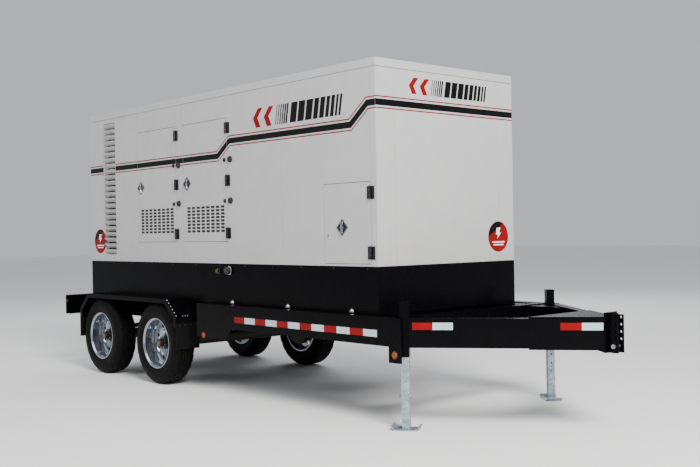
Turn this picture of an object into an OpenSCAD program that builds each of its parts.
// Towable diesel generator: a sound-proofed generating set standing on its fuel
// tank, carried by a tandem-axle trailer with two leg jacks and a hitch channel.
// +X points to the hitch and +Z up. The origin is on the ground below the middle of
// the overall length. Inside the modules x starts at a datum behind that middle.
// The right side is -Y, the side with the connection door. Millimetres.

/* [Enclosure] */
// Length of the enclosure and of the fuel tank under it
encl_l = 4445; // [4430:5:4460]
// Width of the enclosure and of the fuel tank
encl_w = 1558; // [1554:2:1562]
// Height of the enclosure above the tank, roof cap included
encl_h = 1530; // [1500:10:1600]
// Height of the roof cap's rim
roof_h = 60; // [50:5:70]
// Thickness of the sheet steel skins
skin_t = 5; // [4:1:6]
// Depth of the stiffening flanges round panels and openings
flange_d = 40; // [35:5:45]
// Gap between a door and its opening
door_gap = 4; // [3:0.5:5]

/* [Doors] */
// Width of the service doors
door_w = 710; // [690:10:715]
// Height of the service doors
door_h = 1075; // [1060:5:1090]
// Height of the service doors' lower edge above the enclosure's floor
door_sill = 195; // [180:5:210]
// Width of the connection door
conn_w = 526; // [500:2:540]
// Height of the connection door
conn_h = 605; // [590:5:620]
// Distance of the hinge axis from the wall's outer face
hinge_out = 14; // [14:1:16]

/* [Fuel tank] */
// Height of the fuel tank
tank_h = 350; // [340:5:360]

/* [Trailer] */
// Height of the frame's top above the ground
frame_top = 780; // [780:5:800]
// Depth of the frame's rails
rail_d = 203; // [180:1:203]
// Outer face of the side rails from the centre plane
side_y = 905; // [900:5:910]
// Outer face of the main beams from the centre plane
beam_y = 690; // [680:5:690]
// Distance between the two axles
axle_gap = 1070; // [1060:5:1080]

/* [Wheels] */
// Outer diameter of the tyres
tyre_d = 762; // [750:2:764]
// Width of the tyres
tyre_w = 215; // [205:5:215]
// Middle of the tyres from the centre plane
track_y = 858; // [856:1:860]

/* [Jacks and hitch] */
// Outer width of the jack sleeves
sleeve_w = 64; // [64:1:70]
// Outer width of the jack legs
leg_w = 57; // [52:1:57]
// Diameter of the holes in the hitch channel
hitch_hole_d = 17.5; // [16:0.5:20]
// Distance between the holes in the hitch channel
hitch_pitch = 48.5; // [46:0.5:49]

/* [Hidden] */
$fn = 48;
SLIP = 1;                     // gap between pieces that are fixed together
FIT = 0.05;                   // radial clearance of a running fit

// Heights and ends
floor_z = frame_top + tank_h;
roof_z = floor_z + encl_h;
wall_top = roof_z - roof_h - 6;
frame_bot = frame_top - rail_d;
front_x = 1528;
rear_x = front_x - encl_l;
half_w = encl_w / 2;
bumper_x = -3142;
hitch_x = 3046;
mid_x = (bumper_x + hitch_x) / 2;

// Doors: the front edge, the lower edge, width, height and grille of each
door_z = floor_z + door_sill;
door_rear_x = -1210;
door_front_x = -370;
conn_x = 1460;
conn_z = floor_z + 20;
hinge_side = 6;               // from a door's front edge to its hinge axis
hinge_len = 95;
hinge_pin_r = 4;
door_hinge_z = [door_z + 71, door_z + 531, door_z + 990];
conn_hinge_z = [conn_z + 80, conn_z + 524];
stay_z = [door_z + 353, door_z + 712];
stay_out = 45;
latch_z = door_z + 532;
latch_inset = 62;
conn_latch_x = 1144;
conn_latch_z = conn_z + 272;
grille = [8, 8, 78, 30.5, 62, 21]; // columns, rows, pitches and hole size
grille_z = door_z + 82;

// Wheels
axle_z = tyre_d / 2;
axle_mid_x = -1862;
axle_x = [axle_mid_x + axle_gap / 2, axle_mid_x - axle_gap / 2];
tyre_r = tyre_d / 2;
spindle_r = 22.5;

// Tongue: the outer face of the right rail runs from its root to its tip
tongue_root = [1928, -850];
tongue_tip = [2972, -62];
tongue_run = tongue_tip - tongue_root;
tongue_a = atan2(tongue_run[1], tongue_run[0]);
tongue_l = norm(tongue_run);
nose_top = 821;
nose_bot = 551;
channel_w = 75;

// Jacks, each in the corner between a side rail and a tongue rail
jack_x = 1845;
jack_y = -828;
jack_top = frame_top + 108;
jack_bot = 507;
leg_top = 640;
leg_pin_z = 231;

module box(a, b) { translate(a) cube(b - a); }

// Moves a piece from the datum that lengths are measured from to the frame's origin
module centred() { translate([-mid_x, 0, 0]) children(); }

module left() { mirror([0, 1, 0]) children(); }

module both_sides() {
    children();
    left() children();
}

// A channel along +X from the origin, its web on y = 0 and its flanges to +Y
module channel(l, d, f, t) {
    box([0, 0, 0], [l, t, d]);
    box([0, t, 0], [l, f, t]);
    box([0, t, d - t], [l, f, d]);
}

// A cylinder along Y from y0 to y1
module rod_y(x, y0, y1, z, r, fn = 48) {
    translate([x, y0, z]) rotate([-90, 0, 0]) cylinder(r = r, h = y1 - y0, $fn = fn);
}

// A cylinder along X from x0 to x1
module rod_x(x0, x1, y, z, r, fn = 48) {
    translate([x0, y, z]) rotate([0, 90, 0]) cylinder(r = r, h = x1 - x0, $fn = fn);
}

// A rectangular ring of walls t thick, inside the box a to b and open along Y
module ring_y(a, b, t) {
    difference() {
        box(a, b);
        box([a[0] + t, a[1] - 1, a[2] + t], [b[0] - t, b[1] + 1, b[2] - t]);
    }
}

// ---------- Trailer frame ----------

module main_beams() {
    l = 1720 - SLIP - (bumper_x + 76);
    color("#141318") both_sides()
        translate([bumper_x + 76, -beam_y, frame_bot]) {
            translate([0, 45, 0]) box([0, 0, 0], [l, 10, rail_d]);
            box([0, 0, 0], [l, 100, 12]);
            box([0, 0, rail_d - 12], [l, 100, rail_d]);
        }
}

module crossmembers() {
    depth = 140;
    color("#141318") {
        for (x = [-2890, -1895, -1010, -300, 450, 1150])
            translate([x, -(beam_y - 101), frame_bot + 30]) rotate([0, 0, 90])
                mirror([0, 1, 0]) channel(2 * (beam_y - 101), depth, 60, 8);
        both_sides() for (x = [-600, 150, 900, 1500])
            translate([x, -(side_y - 101), frame_bot + 20]) rotate([0, 0, 90])
                mirror([0, 1, 0]) channel(side_y - beam_y - 102, rail_d - 40, 60, 8);
        translate([1795, -(side_y - 101), frame_bot]) rotate([0, 0, 90])
            channel(2 * (side_y - 101), rail_d, 75, 10);
    }
}

// The side rails stand outside the enclosure and carry the marker lamp brackets
module side_rails() {
    rear = -700;
    front = 1785;
    color("#141318") both_sides() {
        translate([rear, -side_y, frame_bot]) channel(front - rear, rail_d, 100, 8);
        box([front - 1, -side_y, frame_bot], [1880, -side_y + 8, frame_top]);
        box([1757, -side_y, 466], [1880, -side_y + 8, frame_bot + 1]);
        translate([0, -side_y + 8, 0]) rotate([90, 0, 0]) linear_extrude(8)
            polygon([[rear, 484], [-250, 484], [-172, frame_bot + 1],
                     [rear, frame_bot + 1]]);
    }
}

// Centres of the round lamps in the rear bumper's left half
function lamp_y() = [620, 760, 880];

module rear_bumper() {
    z0 = frame_bot - 7;
    color("#141318") difference() {
        translate([bumper_x, 980, z0]) rotate([0, 0, -90]) channel(1960, 200, 75, 10);
        for (y = lamp_y(), s = [-1, 1])
            rod_x(bumper_x - 1, bumper_x + 11, s * y, z0 + 100, 57);
    }
}

// Each tongue rail starts in front of a jack and has a gusset to the crossmember
module tongue_rail_right() {
    start = jack_clear();
    color("#141318") {
        intersection() {
            translate([tongue_root[0], tongue_root[1], frame_bot]) rotate([0, 0, tongue_a])
                translate([start, 0, 0]) channel(tongue_l + 200, rail_d, 75, 10);
            box([1797, -side_y, 0], [2960, 0, frame_top + 1]);
        }
        translate([0, 0, frame_top - 20]) linear_extrude(11)
            polygon([[1796.5, -768], [1843, -764], [1880, -791],
                     [2120, -612], [1796.5, -612]]);
        translate([0, 0, frame_bot + 9]) linear_extrude(11)
            polygon([[1796.5, -768], [1843, -764], [1880, -791],
                     [2120, -612], [1796.5, -612]]);
    }
}

module tongue_rail_left() { left() tongue_rail_right(); }

// Where a tongue rail may start, measured along it from its root
function jack_clear() = (jack_x - tongue_root[0]) * cos(tongue_a)
    + (jack_y - tongue_root[1]) * sin(tongue_a) + sleeve_w / 2 + SLIP;

// The nose closes the tongue: a plate over the rails' ends, two cheeks below the
// rails that run down to it, and gusset plates above and below
module tongue_nose() {
    gusset = [[2560, -358], [2960, -56], [2960, 56], [2560, 358]];
    color("#141318") {
        box([2960.5, -70, nose_bot], [tongue_tip[0], 70, nose_top]);
        both_sides() translate([0, -50, 0]) rotate([90, 0, 0]) linear_extrude(10)
            polygon([[2880, frame_bot - 11], [2961, nose_bot], [2961, frame_bot - 11]]);
        translate([0, 0, frame_top + 0.5]) linear_extrude(10) polygon(gusset);
        translate([0, 0, frame_bot - 10.5]) linear_extrude(10) polygon(gusset);
        box([2950, -56, frame_top], [2961, 56, frame_top + 10.5]);
        box([2950, -56, frame_bot - 10.5], [2961, 56, frame_bot - 0.5]);
    }
}

// Heights of the holes in the hitch channel
function hitch_z() = [for (i = [0:3]) nose_top - 33 - i * hitch_pitch];

hitch_bolt_x = 3016;
hitch_bolt_z = 595;

module hitch_channel() {
    w = channel_w / 2;
    x0 = tongue_tip[0] + SLIP;
    color("#141318") difference() {
        union() {
            box([x0, -w, nose_bot], [x0 + 11, w, nose_top]);
            box([x0 + 10, -w, nose_bot], [hitch_x, -w + 10, nose_top]);
            box([x0 + 10, w - 10, nose_bot], [hitch_x, w, nose_top - 15]);
        }
        for (z = hitch_z())
            rod_y(hitch_x - 18.5, -w - 1, w + 1, z, hitch_hole_d / 2);
        rod_y(hitch_bolt_x, -w - 1, w + 1, hitch_bolt_z, 11);
    }
}

// The bolt through the channel's foot, with a hex head and a nut
module hitch_bolt() {
    w = channel_w / 2;
    color("#b9bcc0") {
        rod_y(hitch_bolt_x, -w - 8, w + 20, hitch_bolt_z, 10);
        rod_y(hitch_bolt_x, -w - 13, -w - SLIP / 2, hitch_bolt_z, 17, 6);
        rod_y(hitch_bolt_x, w + SLIP / 2, w + 17, hitch_bolt_z, 17, 6);
    }
}

// ---------- Fenders and running gear ----------

fender_half = 935;
fender_flat = 757;
fender_top = 803;
fender_shoulder = 644;
fender_skirt = 550;
fender_y = [-985, -695];

// Outline of a fender seen from the side, drawn in by d
function fender_outline(d) = [
    [axle_mid_x - fender_half + d, fender_skirt - 1],
    [axle_mid_x - fender_half + d, fender_shoulder - 0.4 * d],
    [axle_mid_x - fender_flat + 0.4 * d, fender_top - d],
    [axle_mid_x + fender_flat - 0.4 * d, fender_top - d],
    [axle_mid_x + fender_half - d, fender_shoulder - 0.4 * d],
    [axle_mid_x + fender_half - d, fender_skirt - 1]
];

// A sheet bent to the fender's outline, t deep, between two planes along Y
module fender_sheet(y0, y1, t) {
    translate([0, y1, 0]) rotate([90, 0, 0]) linear_extrude(y1 - y0) difference() {
        polygon(fender_outline(0));
        polygon(fender_outline(t));
        translate([-4000, 0]) square([8000, fender_skirt]);
    }
}

module fender_right() {
    color("#17161a") difference() {
        union() {
            fender_sheet(fender_y[0], fender_y[1], 5);
            fender_sheet(fender_y[0], fender_y[0] + 5, 42);
        }
        box([-4000, -half_w - 4, frame_top - 5], [0, 0, 1000]);
    }
}

module fender_left() { left() fender_right(); }

module mud_flaps() {
    flap_bot = 352;
    color("#101012") both_sides()
        for (s = [-1, 1])
            translate([axle_mid_x + s * (fender_half + 5), 0, 0])
                box([-4, fender_y[0] + 2, flap_bot], [4, -740, fender_skirt + 40]);
}

spring_y = 640;
spring_half = 430;
leaf_t = 11;
eye_rise = 74;

// One leaf: a band along a parabola that rises to the spring's ends
module leaf(level, half_l) {
    n = 10;
    low = axle_z + 60 + level * leaf_t;
    curve = [for (i = [-n:n]) let (x = half_l * i / n)
        [x, low + eye_rise * pow(x / spring_half, 2)]];
    back = [for (i = [-n:n]) let (x = -half_l * i / n)
        [x, low + leaf_t - 0.3 + eye_rise * pow(x / spring_half, 2)]];
    translate([0, 30, 0]) rotate([90, 0, 0]) linear_extrude(60)
        polygon(concat(curve, back));
}

module leaf_springs() {
    color("#1d1d20") for (x = axle_x, y = [-spring_y, spring_y])
        translate([x, y, 0]) {
            leaf(3, spring_half);
            leaf(2, spring_half * 0.78);
            leaf(1, spring_half * 0.56);
            leaf(0, spring_half * 0.34);
        }
}

// Hangers welded under the main beams, and the equalisers between the springs
module spring_hangers() {
    eye_z = axle_z + 60 + 3.5 * leaf_t + eye_rise;
    ends = [axle_x[0] + spring_half + 26, axle_x[1] - spring_half - 26];
    color("#1d1d20") for (y = [-spring_y, spring_y]) {
        for (x = ends)
            box([x - 24, y - 34, eye_z - 30], [x + 24, y + 34, frame_bot - 0.5]);
        box([axle_mid_x - 30, y - 34, eye_z - 55], [axle_mid_x + 30, y + 34, frame_bot - 0.5]);
        box([axle_mid_x - 120, y - sign(-y) * 42 - 4, eye_z - 150],
            [axle_mid_x + 120, y - sign(-y) * 42 + 4, frame_bot - 0.5]);
        box([axle_mid_x - 30, min(y, y - sign(-y) * 42), eye_z - 30],
            [axle_mid_x + 30, max(y, y - sign(-y) * 42), frame_bot - 0.5]);
        for (s = [-1, 1])
            translate([axle_mid_x + s * 31, y - 26, eye_z - 60])
                box([min(0, s * 72), 0, 0], [max(0, s * 72), 52, 34]);
    }
}

module axles() {
    color("#1d1d20") for (x = axle_x) {
        rod_y(x, -700, 700, axle_z, 50);
        for (s = [-1, 1]) {
            rod_y(x, min(s * 700, s * 732), max(s * 700, s * 732), axle_z, 32);
            rod_y(x, min(s * 700, s * 861), max(s * 700, s * 861), axle_z, spindle_r);
            box([x - 45, s * spring_y - 34, axle_z + 35],
                [x + 45, s * spring_y + 34, axle_z + 59.5]);
        }
    }
}

// Puts a wheel part, drawn round +Z with its outer side up, on a right-hand hub
module wheel_at(x) {
    translate([x, -track_y, axle_z]) rotate([90, 0, 0]) children();
}

module tyre() {
    w = tyre_w / 2;
    color("#19191b") rotate_extrude($fn = 96) difference() {
        polygon([[223, -w + 20.5], [260, -w + 6], [300, -w], [345, -w + 6], [368, -w + 20],
                 [tyre_r, -w + 32], [tyre_r, w - 32], [368, w - 20], [345, w - 6],
                 [300, w], [260, w - 6], [223, w - 20.5], [223, w - 34], [262, w - 20],
                 [300, w - 14], [352, w - 24], [360, w - 50], [360, 50 - w],
                 [352, 24 - w], [300, 14 - w], [262, 20 - w], [223, 34 - w]]);
        for (z = [-48, -16, 16, 48])
            translate([tyre_r - 10, z - 4]) square([20, 8]);
    }
}

module rim() {
    color("#c9ccd1") difference() {
        rotate_extrude($fn = 96) {
            polygon([[222, -96], [235, -98], [235, -92], [222, -88], [222, -82], [204, -72],
                     [204, -46], [222, -34], [222, 88], [235, 92], [235, 98], [226, 98],
                     [214, 88], [214, -16], [190, -22], [152, -18], [134, -26], [116, -47],
                     [62, -47], [62, -56], [112, -56], [128, -37], [150, -29], [190, -33],
                     [212, -28], [214, -32], [196, -44], [196, -74], [214, -84], [214, -90]]);
        }
        for (a = [0:45:315]) {
            rotate([0, 0, a]) translate([82.5, 0, -60]) cylinder(r = 11, h = 30);
            rotate([0, 0, a + 22.5]) translate([158, 0, -60]) cylinder(r = 17, h = 60);
        }
    }
}

module hub() {
    disc = -56.5;
    color("#1b1b1e") difference() {
        union() {
            translate([0, 0, -123]) cylinder(r = 155, h = 48, $fn = 72);
            translate([0, 0, -76]) cylinder(r = 105, h = disc + 76, $fn = 72);
            translate([0, 0, disc - 1]) cylinder(r = 58, h = 84);
            translate([0, 0, 25]) cylinder(r = 36, h = 40);
            for (a = [0:45:315]) rotate([0, 0, a]) translate([82.5, 0, 0]) {
                translate([0, 0, disc - 1]) cylinder(r = 9, h = 32);
                translate([0, 0, disc + 10]) cylinder(r = 15, h = 16, $fn = 6);
            }
        }
        translate([0, 0, -124]) cylinder(r = spindle_r + FIT, h = 129);
    }
}

module tyre_front_right() { wheel_at(axle_x[0]) tyre(); }
module tyre_rear_right() { wheel_at(axle_x[1]) tyre(); }
module tyre_front_left() { left() tyre_front_right(); }
module tyre_rear_left() { left() tyre_rear_right(); }
module rim_front_right() { wheel_at(axle_x[0]) rim(); }
module rim_rear_right() { wheel_at(axle_x[1]) rim(); }
module rim_front_left() { left() rim_front_right(); }
module rim_rear_left() { left() rim_rear_right(); }
module hub_front_right() { wheel_at(axle_x[0]) hub(); }
module hub_rear_right() { wheel_at(axle_x[1]) hub(); }
module hub_front_left() { left() hub_front_right(); }
module hub_rear_left() { left() hub_rear_right(); }

// ---------- Jacks ----------

// Puts a piece, drawn round +Z, on the right-hand jack's axis
module jack_at() {
    translate([jack_x, jack_y, 0]) rotate([0, 0, tongue_a]) children();
}

module tube_z(w, t, z0, z1) {
    difference() {
        box([-w / 2, -w / 2, z0], [w / 2, w / 2, z1]);
        box([-w / 2 + t, -w / 2 + t, z0 - 1], [w / 2 - t, w / 2 - t, z1 + 1]);
    }
}

module jack_sleeves() {
    wall = (sleeve_w - leg_w - 1) / 2;
    color("#141318") both_sides() jack_at() {
        tube_z(sleeve_w, wall, jack_bot, jack_top);
        box([-sleeve_w / 2, -sleeve_w / 2, jack_top], [sleeve_w / 2, sleeve_w / 2, jack_top + 5]);
    }
}

// A leg with its stop pin and a foot plate with turned-up ends
module jack_leg_right() {
    foot_t = 6;
    color("#9aa4ad") jack_at() {
        difference() {
            tube_z(leg_w, 6, foot_t - 1, leg_top);
            translate([0, 0, leg_pin_z]) rotate([0, 90, 0])
                cylinder(r = 9, h = 100, center = true);
        }
        translate([-46, 0, leg_pin_z]) rotate([0, 90, 0]) cylinder(r = 9.5, h = 92);
        translate([-49, 0, leg_pin_z]) rotate([0, 90, 0]) cylinder(r = 14, h = 6);
        translate([0, 65, 0]) rotate([90, 0, 0]) linear_extrude(130)
            polygon([[-75, 0], [75, 0], [105, 26], [101, 31], [73, foot_t],
                     [-73, foot_t], [-101, 31], [-105, 26]]);
    }
}

module jack_leg_left() { left() jack_leg_right(); }

// ---------- Lamps ----------

module lamp(x, z) { rod_y(x, -side_y - 16, -side_y - 0.3, z, 27); }

module marker_lights() {
    color("#c8661a") both_sides() {
        lamp(-588, 503);
        lamp(1820, 522);
    }
}

module tail_lights() {
    z = frame_bot + 93;
    color("#8e1a16") {
        for (y = lamp_y(), s = [-1, 1])
            rod_x(bumper_x + 1, bumper_x + 14, s * y, z, 55);
        both_sides() rod_y(bumper_x + 40, -990, -980.3, z + 42, 15);
    }
}

// ---------- Fuel tank ----------

filler_x = -368;
filler_z = floor_z - 60;

module base_tank() {
    wall = 5;
    color("#131217") {
        difference() {
            box([rear_x, -half_w, frame_top], [front_x, half_w, floor_z]);
            box([rear_x + wall, -half_w + wall, frame_top + wall],
                [front_x - wall, half_w - wall, floor_z - wall]);
        }
        rod_y(filler_x, -half_w - 22, -half_w + 1, filler_z, 25);
        rod_y(filler_x - 166, -half_w - 16, -half_w + 1, filler_z - 8, 17);
        both_sides() for (x = [-297, 479, 1255]) {
            box([x - 45, -half_w - 32, frame_top], [x + 45, -half_w + 1, frame_top + 10]);
            translate([x, -half_w - 18, frame_top + 9]) cylinder(r = 13, h = 13, $fn = 6);
        }
    }
}

module filler_cap() {
    y0 = -half_w - 30;
    color("#3a3b40") difference() {
        union() {
            rod_y(filler_x, y0, -half_w - 4, filler_z, 33);
            box([filler_x - 30, y0 - 8, filler_z - 5], [filler_x + 30, y0 + 1, filler_z + 5]);
        }
        rod_y(filler_x, y0 + 7, -half_w, filler_z, 25 + FIT);
    }
}

// ---------- Enclosure walls ----------

// The opening for a door on the right-hand wall, g larger than the door all round
module door_hole(x, z, w, h, g, y0, y1) {
    box([x - w - g, y0, z - g], [x + g, y1, z + h + g]);
}

// The flange round a door opening
module door_frame(x, z, w, h) {
    g = door_gap;
    ring_y([x - w - g - 4, -half_w + 1, z - g - 4],
           [x + g + 4, -half_w + flange_d, z + h + g + 4], 4);
}

louvre_x = [-2613, -2377];
louvre_z = [floor_z + 72, floor_z + 1422];
louvre_n = 23;
seam_x = [-2301, -2189, -1922, -1208, -1094, -368, 404, 1472];

// One long wall. The right-hand wall also has the connection door's opening
module side_panel(with_connection) {
    t = skin_t;
    difference() {
        union() {
            box([rear_x, -half_w, floor_z], [front_x, -half_w + t, wall_top]);
            box([rear_x, -half_w, floor_z], [front_x, -half_w + flange_d, floor_z + 4]);
            box([rear_x, -half_w, wall_top - 4], [front_x, -half_w + flange_d, wall_top]);
            for (x = [door_rear_x, door_front_x]) door_frame(x, door_z, door_w, door_h);
            if (with_connection) door_frame(conn_x, conn_z, conn_w, conn_h);
            ring_y([louvre_x[0] - 4, -half_w + 1, louvre_z[0] - 4],
                   [louvre_x[1] + 4, -half_w + flange_d, louvre_z[1] + 4], 4);
        }
        for (x = [door_rear_x, door_front_x])
            door_hole(x, door_z, door_w, door_h, door_gap, -half_w - 1, -half_w + 60);
        if (with_connection)
            door_hole(conn_x, conn_z, conn_w, conn_h, door_gap, -half_w - 1, -half_w + 60);
        box([louvre_x[0], -half_w - 1, louvre_z[0]], [louvre_x[1], -half_w + 60, louvre_z[1]]);
        for (x = seam_x)
            box([x - 2, -half_w - 1, floor_z - 1], [x + 2, -half_w + 2, wall_top + 1]);
    }
}

module side_panel_right() { color("#d9d8d8") side_panel(true); }
module side_panel_left() { color("#d9d8d8") left() side_panel(false); }

// An end wall between the long walls, standing on x = 0 and facing +X
module end_panel() {
    y = half_w - flange_d - SLIP;
    box([-skin_t, -half_w + skin_t + SLIP, floor_z + 5],
        [0, half_w - skin_t - SLIP, wall_top - 5]);
    box([-flange_d, -y, floor_z], [-1, y, floor_z + 5]);
    box([-flange_d, -y, wall_top - 5], [-1, y, wall_top]);
}

module front_panel() {
    color("#e2e1e2") difference() {
        translate([front_x, 0, 0]) end_panel();
        for (y = [-590, 590])
            box([front_x - 2, y - 2, floor_z], [front_x + 1, y + 2, wall_top]);
    }
}

module rear_panel() {
    slots = 14;
    color("#d9d8d8") difference() {
        translate([rear_x, 0, 0]) mirror([1, 0, 0]) end_panel();
        for (i = [0:slots - 1])
            box([rear_x - 1, -420, floor_z + 300 + i * 55],
                [rear_x + skin_t + 1, 420, floor_z + 322 + i * 55]);
    }
}

exhaust_x = -500;
exhaust_y = 250;
pipe_r = 63;

// The roof has slots above the radiator and a hole for the exhaust
module roof_cap() {
    z0 = roof_z - roof_h;
    rim = 14;
    color("#e2e1e2") difference() {
        union() {
            box([rear_x, -half_w, z0], [front_x, half_w, roof_z]);
            box([rear_x + 6, -half_w + 6, wall_top], [front_x - 6, half_w - 6, z0 + 1]);
        }
        box([rear_x + rim, -half_w + rim, wall_top - 1],
            [front_x - rim, half_w - rim, roof_z - skin_t]);
        for (i = [0:11])
            box([800 + i * 48, -480, roof_z - 20], [824 + i * 48, 480, roof_z + 1]);
        translate([exhaust_x, exhaust_y, roof_z - 20]) cylinder(r = pipe_r + 17, h = 30);
    }
}

// Sloping blades, white as the walls, that shed rain over the air inlets
module louvre_blades() {
    pitch = (louvre_z[1] - louvre_z[0]) / louvre_n;
    color("#cfcfce") both_sides() for (i = [0:louvre_n - 1])
        translate([louvre_x[0] + SLIP, -half_w + 5, louvre_z[0] + (i + 0.5) * pitch])
            rotate([40, 0, 0])
                box([0, -1.5, -27], [louvre_x[1] - louvre_x[0] - 2 * SLIP, 1.5, 27]);
}

// ---------- Doors ----------

// The door's half of a hinge: a leaf on the face and two eyes on the pin
module door_leaf(z) {
    eye = hinge_len / 3 - 0.5;
    r = hinge_out - 6;
    for (dz = [-hinge_len / 2, hinge_len / 2 - eye])
        translate([hinge_side, -hinge_out, z + dz]) difference() {
            union() {
                cylinder(r = r, h = eye);
                box([-r, 0, 0], [-3.5, hinge_out, eye]);
                box([-36, hinge_out - 4, 0], [-6.5, hinge_out + 1, eye]);
            }
            translate([0, 0, -1]) cylinder(r = hinge_pin_r + FIT, h = eye + 2, $fn = 32);
        }
}

// The wall's half of a hinge, with the pin
module wall_leaf(z) {
    eye = hinge_len / 3 - 0.5;
    r = hinge_out - 6;
    translate([hinge_side, -hinge_out, z]) {
        translate([0, 0, -eye / 2]) {
            cylinder(r = r, h = eye);
            box([3.5, 0, 0], [r, hinge_out - 0.3, eye]);
            box([3.5, hinge_out - 4, 0], [34, hinge_out - 0.3, eye]);
        }
        translate([0, 0, -hinge_len / 2 + 1]) cylinder(r = hinge_pin_r, h = hinge_len - 2, $fn = 32);
    }
}

// A square base for the latch, standing on its corner, with the spindle's hole
module latch_base(x, z) {
    translate([x, 0, z]) rotate([0, 45, 0]) box([-42, -4, -42], [42, 1, 42]);
}

module spindle_hole(x, z) { rod_y(x, -5, skin_t + 1, z, 8 + FIT); }

// A door, its front lower corner at the origin and its outer face on y = 0
module door(w, h, hinges) {
    difference() {
        union() {
            box([-w, 0, 0], [0, skin_t - 1, h]);
            ring_y([-w, 0.5, 0], [0, 35, h], 4);
        }
        children();
    }
    for (z = hinges) door_leaf(z);
}

module grille_holes(w) {
    x0 = -w / 2 - (grille[0] - 1) * grille[2] / 2;
    for (i = [0:grille[0] - 1], j = [0:grille[1] - 1])
        translate([x0 + i * grille[2], 0, grille_z - door_z + j * grille[3]])
            box([-grille[4] / 2, -1, 0], [grille[4] / 2, 10, grille[5]]);
}

module service_door(x) {
    lx = -door_w + latch_inset;
    lz = latch_z - door_z;
    color("#d9d8d8") translate([x, -half_w, door_z]) {
        difference() {
            union() {
                door(door_w, door_h, [for (z = door_hinge_z) z - door_z])
                    grille_holes(door_w);
                latch_base(lx, lz);
            }
            spindle_hole(lx, lz);
        }
        for (z = stay_z)
            rod_y(hinge_side - stay_out, -10.5, 1, z - door_z, 12.5);
    }
}

module door_right_rear() { service_door(door_rear_x); }
module door_right_front() { service_door(door_front_x); }
module door_left_rear() { left() service_door(door_rear_x); }
module door_left_front() { left() service_door(door_front_x); }

module connection_door() {
    lx = conn_latch_x - conn_x;
    lz = conn_latch_z - conn_z;
    color("#d9d8d8") translate([conn_x, -half_w, conn_z]) {
        difference() {
            union() {
                door(conn_w, conn_h, [for (z = conn_hinge_z) z - conn_z]);
                latch_base(lx, lz);
            }
            spindle_hole(lx, lz);
        }
        rod_y(-479, -4, 1, lz - 59, 9);
    }
}

module door_hinges() {
    color("#2a2b2e") {
        both_sides() for (x = [door_rear_x, door_front_x], z = door_hinge_z)
            translate([x, -half_w, 0]) wall_leaf(z);
        for (z = conn_hinge_z) translate([conn_x, -half_w, 0]) wall_leaf(z);
    }
}

// Sockets that a door's studs meet when it stands wide open
module holdback_sockets() {
    color("#151517") both_sides()
        for (x = [door_rear_x, door_front_x], z = stay_z)
            rod_y(x + hinge_side + stay_out, -half_w - 17, -half_w - 0.3, z, 21);
}

// A folding grip on a spindle, with a cam inside the door
module latch(x, z) {
    color("#b4b8bd") translate([x, -half_w, z]) {
        rod_y(0, -12, 24, 0, 8);
        rod_y(0, -14, -4.4, 0, 17);
        box([-11, -16, -44], [11, -8, 44]);
        box([-10, 20, -8], [10, 24, 34]);
    }
}

module latch_right_rear() { latch(door_rear_x - door_w + latch_inset, latch_z); }
module latch_right_front() { latch(door_front_x - door_w + latch_inset, latch_z); }
module latch_left_rear() { left() latch_right_rear(); }
module latch_left_front() { left() latch_right_front(); }
module latch_connection() { latch(conn_latch_x, conn_latch_z); }

// ---------- Generating set ----------

crank_z = floor_z + 520;
engine_x = [-330, 880];
fan_x = 985;
fan_shaft_r = 20;

module engine() {
    x0 = engine_x[0];
    x1 = engine_x[1];
    color("#caa53a") difference() {
        union() {
            box([x0 + 110, -220, crank_z - 120], [x1 - 60, 220, crank_z + 290]);
            box([x0 + 160, -170, floor_z + 130], [x1 - 160, 170, crank_z - 119]);
            box([x0 + 130, -130, crank_z + 289], [x1 - 90, 130, crank_z + 430]);
            rod_x(x0, x0 + 111, 0, crank_z, 300);
            rod_x(x1 - 61, x1 - 20, 0, crank_z, 110);
            rod_x(x1 - 61, fan_x - 60, 0, crank_z + 110, 60);
            rod_x(x0 + 300, x1 - 400, 330, crank_z + 330, 90);
            box([x0 + 330, 219, crank_z + 210], [x1 - 430, 400, crank_z + 300]);
            rod_x(x0 + 250, x0 + 700, -370, crank_z + 420, 140);
            box([x0 + 400, -400, crank_z + 150], [x0 + 560, -219, crank_z + 420]);
            for (x = [x0 + 60, x1 - 130], s = [-1, 1])
                box([x, min(s * 215, s * 330), floor_z + 60], [x + 90, max(s * 215, s * 330), crank_z - 60]);
        }
        rod_x(x1 - 20, fan_x, 0, crank_z + 110, fan_shaft_r + FIT);
    }
}

module alternator() {
    x1 = engine_x[0] - SLIP;
    color("#3c4046") {
        rod_x(x1 - 760, x1, 0, crank_z, 285);
        rod_x(x1 - 850, x1 - 759, 0, crank_z, 230);
        box([x1 - 640, -220, crank_z + 200], [x1 - 200, 220, crank_z + 420]);
        for (s = [-1, 1])
            box([x1 - 700, min(s * 180, s * 330), floor_z + 60],
                [x1 - 160, max(s * 180, s * 330), crank_z - 160]);
    }
}

// The cooler pack, its shroud ring round the fan, and the skid rails of the set
module radiator() {
    color("#202124") {
        box([1120, -560, floor_z + 70], [1240, 560, floor_z + 1260]);
        difference() {
            box([1050, -520, floor_z + 80], [1121, 520, floor_z + 1180]);
            rod_x(1049, 1122, 0, crank_z + 110, 375, 72);
        }
        for (s = [-1, 1])
            box([-1300, s * 300 - 45, floor_z + 0.5], [1240, s * 300 + 45, floor_z + 59.5]);
    }
}

module fan() {
    blades = 8;
    color("#17181a") translate([fan_x, 0, crank_z + 110]) {
        rod_x(-80, 20, 0, 0, fan_shaft_r);
        rod_x(0, 70, 0, 0, 75);
        for (i = [0:blades - 1]) rotate([i * 360 / blades, 0, 0])
            translate([40, 0, 60]) rotate([0, 0, 35]) box([-4, -55, 0], [4, 55, 285]);
    }
}

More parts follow.
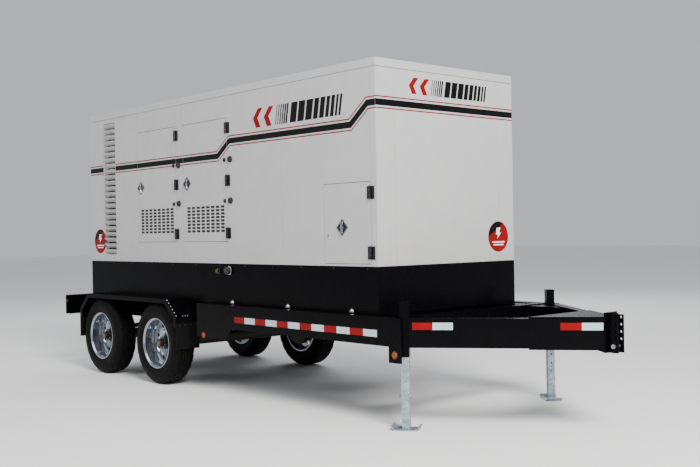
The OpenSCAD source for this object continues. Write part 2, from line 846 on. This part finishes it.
module muffler() {
    z = floor_z + 1230;
    color("#6f6a66") {
        rod_x(exhaust_x - 420, exhaust_x + 420, exhaust_y, z, 150);
        translate([exhaust_x, exhaust_y, z]) cylinder(r = pipe_r, h = roof_z - z - 1);
        rod_x(exhaust_x + 419, exhaust_x + 520, exhaust_y, z, 50);
    }
}

module control_panel() {
    x = door_rear_x - door_w / 2;
    color("#30445e") {
        box([x - 270, -700, door_z + 320], [x + 270, -520, door_z + 1040]);
        box([x - 150, -712, door_z + 740], [x + 150, -699, door_z + 940]);
        box([x - 60, -716, door_z + 420], [x + 60, -699, door_z + 620]);
        for (s = [-1, 1])
            box([x + s * 230 - 20, -560, floor_z + 0.5], [x + s * 230 + 20, -520, door_z + 321]);
    }
}

output_x = [1010, 1100, 1190, 1280, 1370];
output_z = conn_z + 330;
output_r = 11;

// Five single-pole cable sockets on a plate behind the connection door
module output_panel() {
    color("#2b2c30") difference() {
        union() {
            box([960, -690, conn_z + 30], [1420, -680, conn_z + 570]);
            for (x = [965, 1385]) box([x, -681, floor_z + 0.5], [x + 30, -650, conn_z + 570]);
            for (x = output_x) rod_y(x, -722, -620, output_z, 24);
        }
        for (x = output_x) rod_y(x, -723, -660, output_z, output_r);
    }
}

module batteries() {
    color("#1c1c1f") for (i = [0, 1]) translate([-2330 + i * 200, -640, floor_z + 0.5]) {
        box([0, 0, 0], [172, 330, 200]);
        box([4, 4, 199], [168, 326, 225]);
        for (y = [50, 280]) translate([86, y, 224]) cylinder(r = 9, h = 18);
    }
}

centred() main_beams();
centred() crossmembers();
centred() side_rails();
centred() rear_bumper();
centred() tongue_rail_right();
centred() tongue_rail_left();
centred() tongue_nose();
centred() hitch_channel();
centred() hitch_bolt();
centred() fender_right();
centred() fender_left();
centred() mud_flaps();
centred() leaf_springs();
centred() spring_hangers();
centred() axles();
centred() tyre_front_right();
centred() tyre_rear_right();
centred() tyre_front_left();
centred() tyre_rear_left();
centred() rim_front_right();
centred() rim_rear_right();
centred() rim_front_left();
centred() rim_rear_left();
centred() hub_front_right();
centred() hub_rear_right();
centred() hub_front_left();
centred() hub_rear_left();
centred() jack_sleeves();
centred() jack_leg_right();
centred() jack_leg_left();
centred() marker_lights();
centred() tail_lights();
centred() base_tank();
centred() filler_cap();
centred() side_panel_right();
centred() side_panel_left();
centred() front_panel();
centred() rear_panel();
centred() roof_cap();
centred() louvre_blades();
centred() door_right_rear();
centred() door_right_front();
centred() door_left_rear();
centred() door_left_front();
centred() connection_door();
centred() door_hinges();
centred() holdback_sockets();
centred() latch_right_rear();
centred() latch_right_front();
centred() latch_left_rear();
centred() latch_left_front();
centred() latch_connection();
centred() engine();
centred() alternator();
centred() radiator();
centred() fan();
centred() muffler();
centred() control_panel();
centred() output_panel();
centred() batteries();
